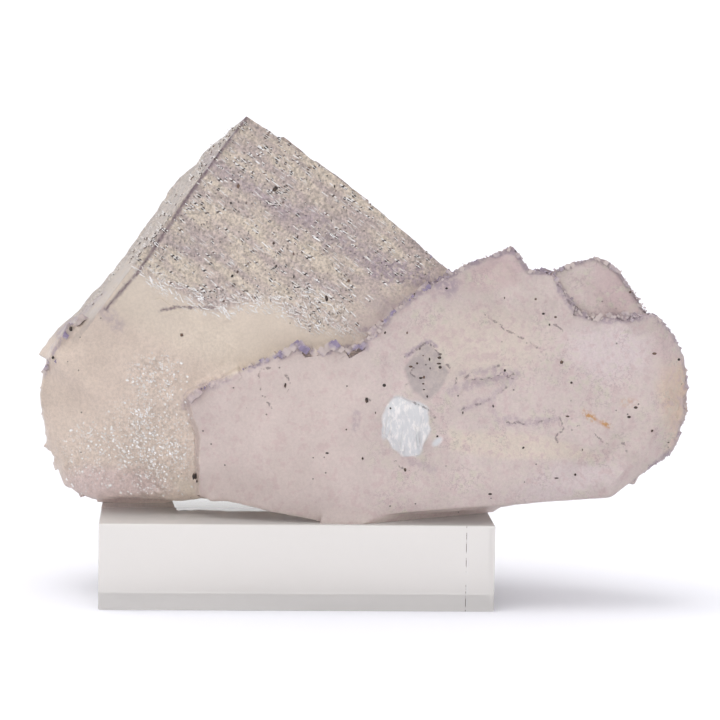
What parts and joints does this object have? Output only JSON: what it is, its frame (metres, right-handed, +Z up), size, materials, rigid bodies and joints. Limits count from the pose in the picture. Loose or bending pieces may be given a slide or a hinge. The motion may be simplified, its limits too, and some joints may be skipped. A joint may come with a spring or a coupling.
{
  "type": "fluorite crystal specimen on a display block",
  "caption": "Pale lilac and honey cluster of intergrown cube-shaped fluorite crystals with a tall upright corner, resting on a clear acrylic block.",
  "frame": {"origin": "centre of the display block's underside", "axes": "+X along the block, to the viewer's right; +Y to the back, away from the lilac front; +Z up"},
  "size_m": [0.0983, 0.0396, 0.0729],
  "materials": {
    "fluorite": "translucent frosted crystal, lilac and honey, with purple edges",
    "acrylic": "clear polished acrylic"
  },
  "bodies": {
    "root": {"fluorite_cluster": "fluorite", "acrylic_block": "acrylic"}
  },
  "joints": []
}
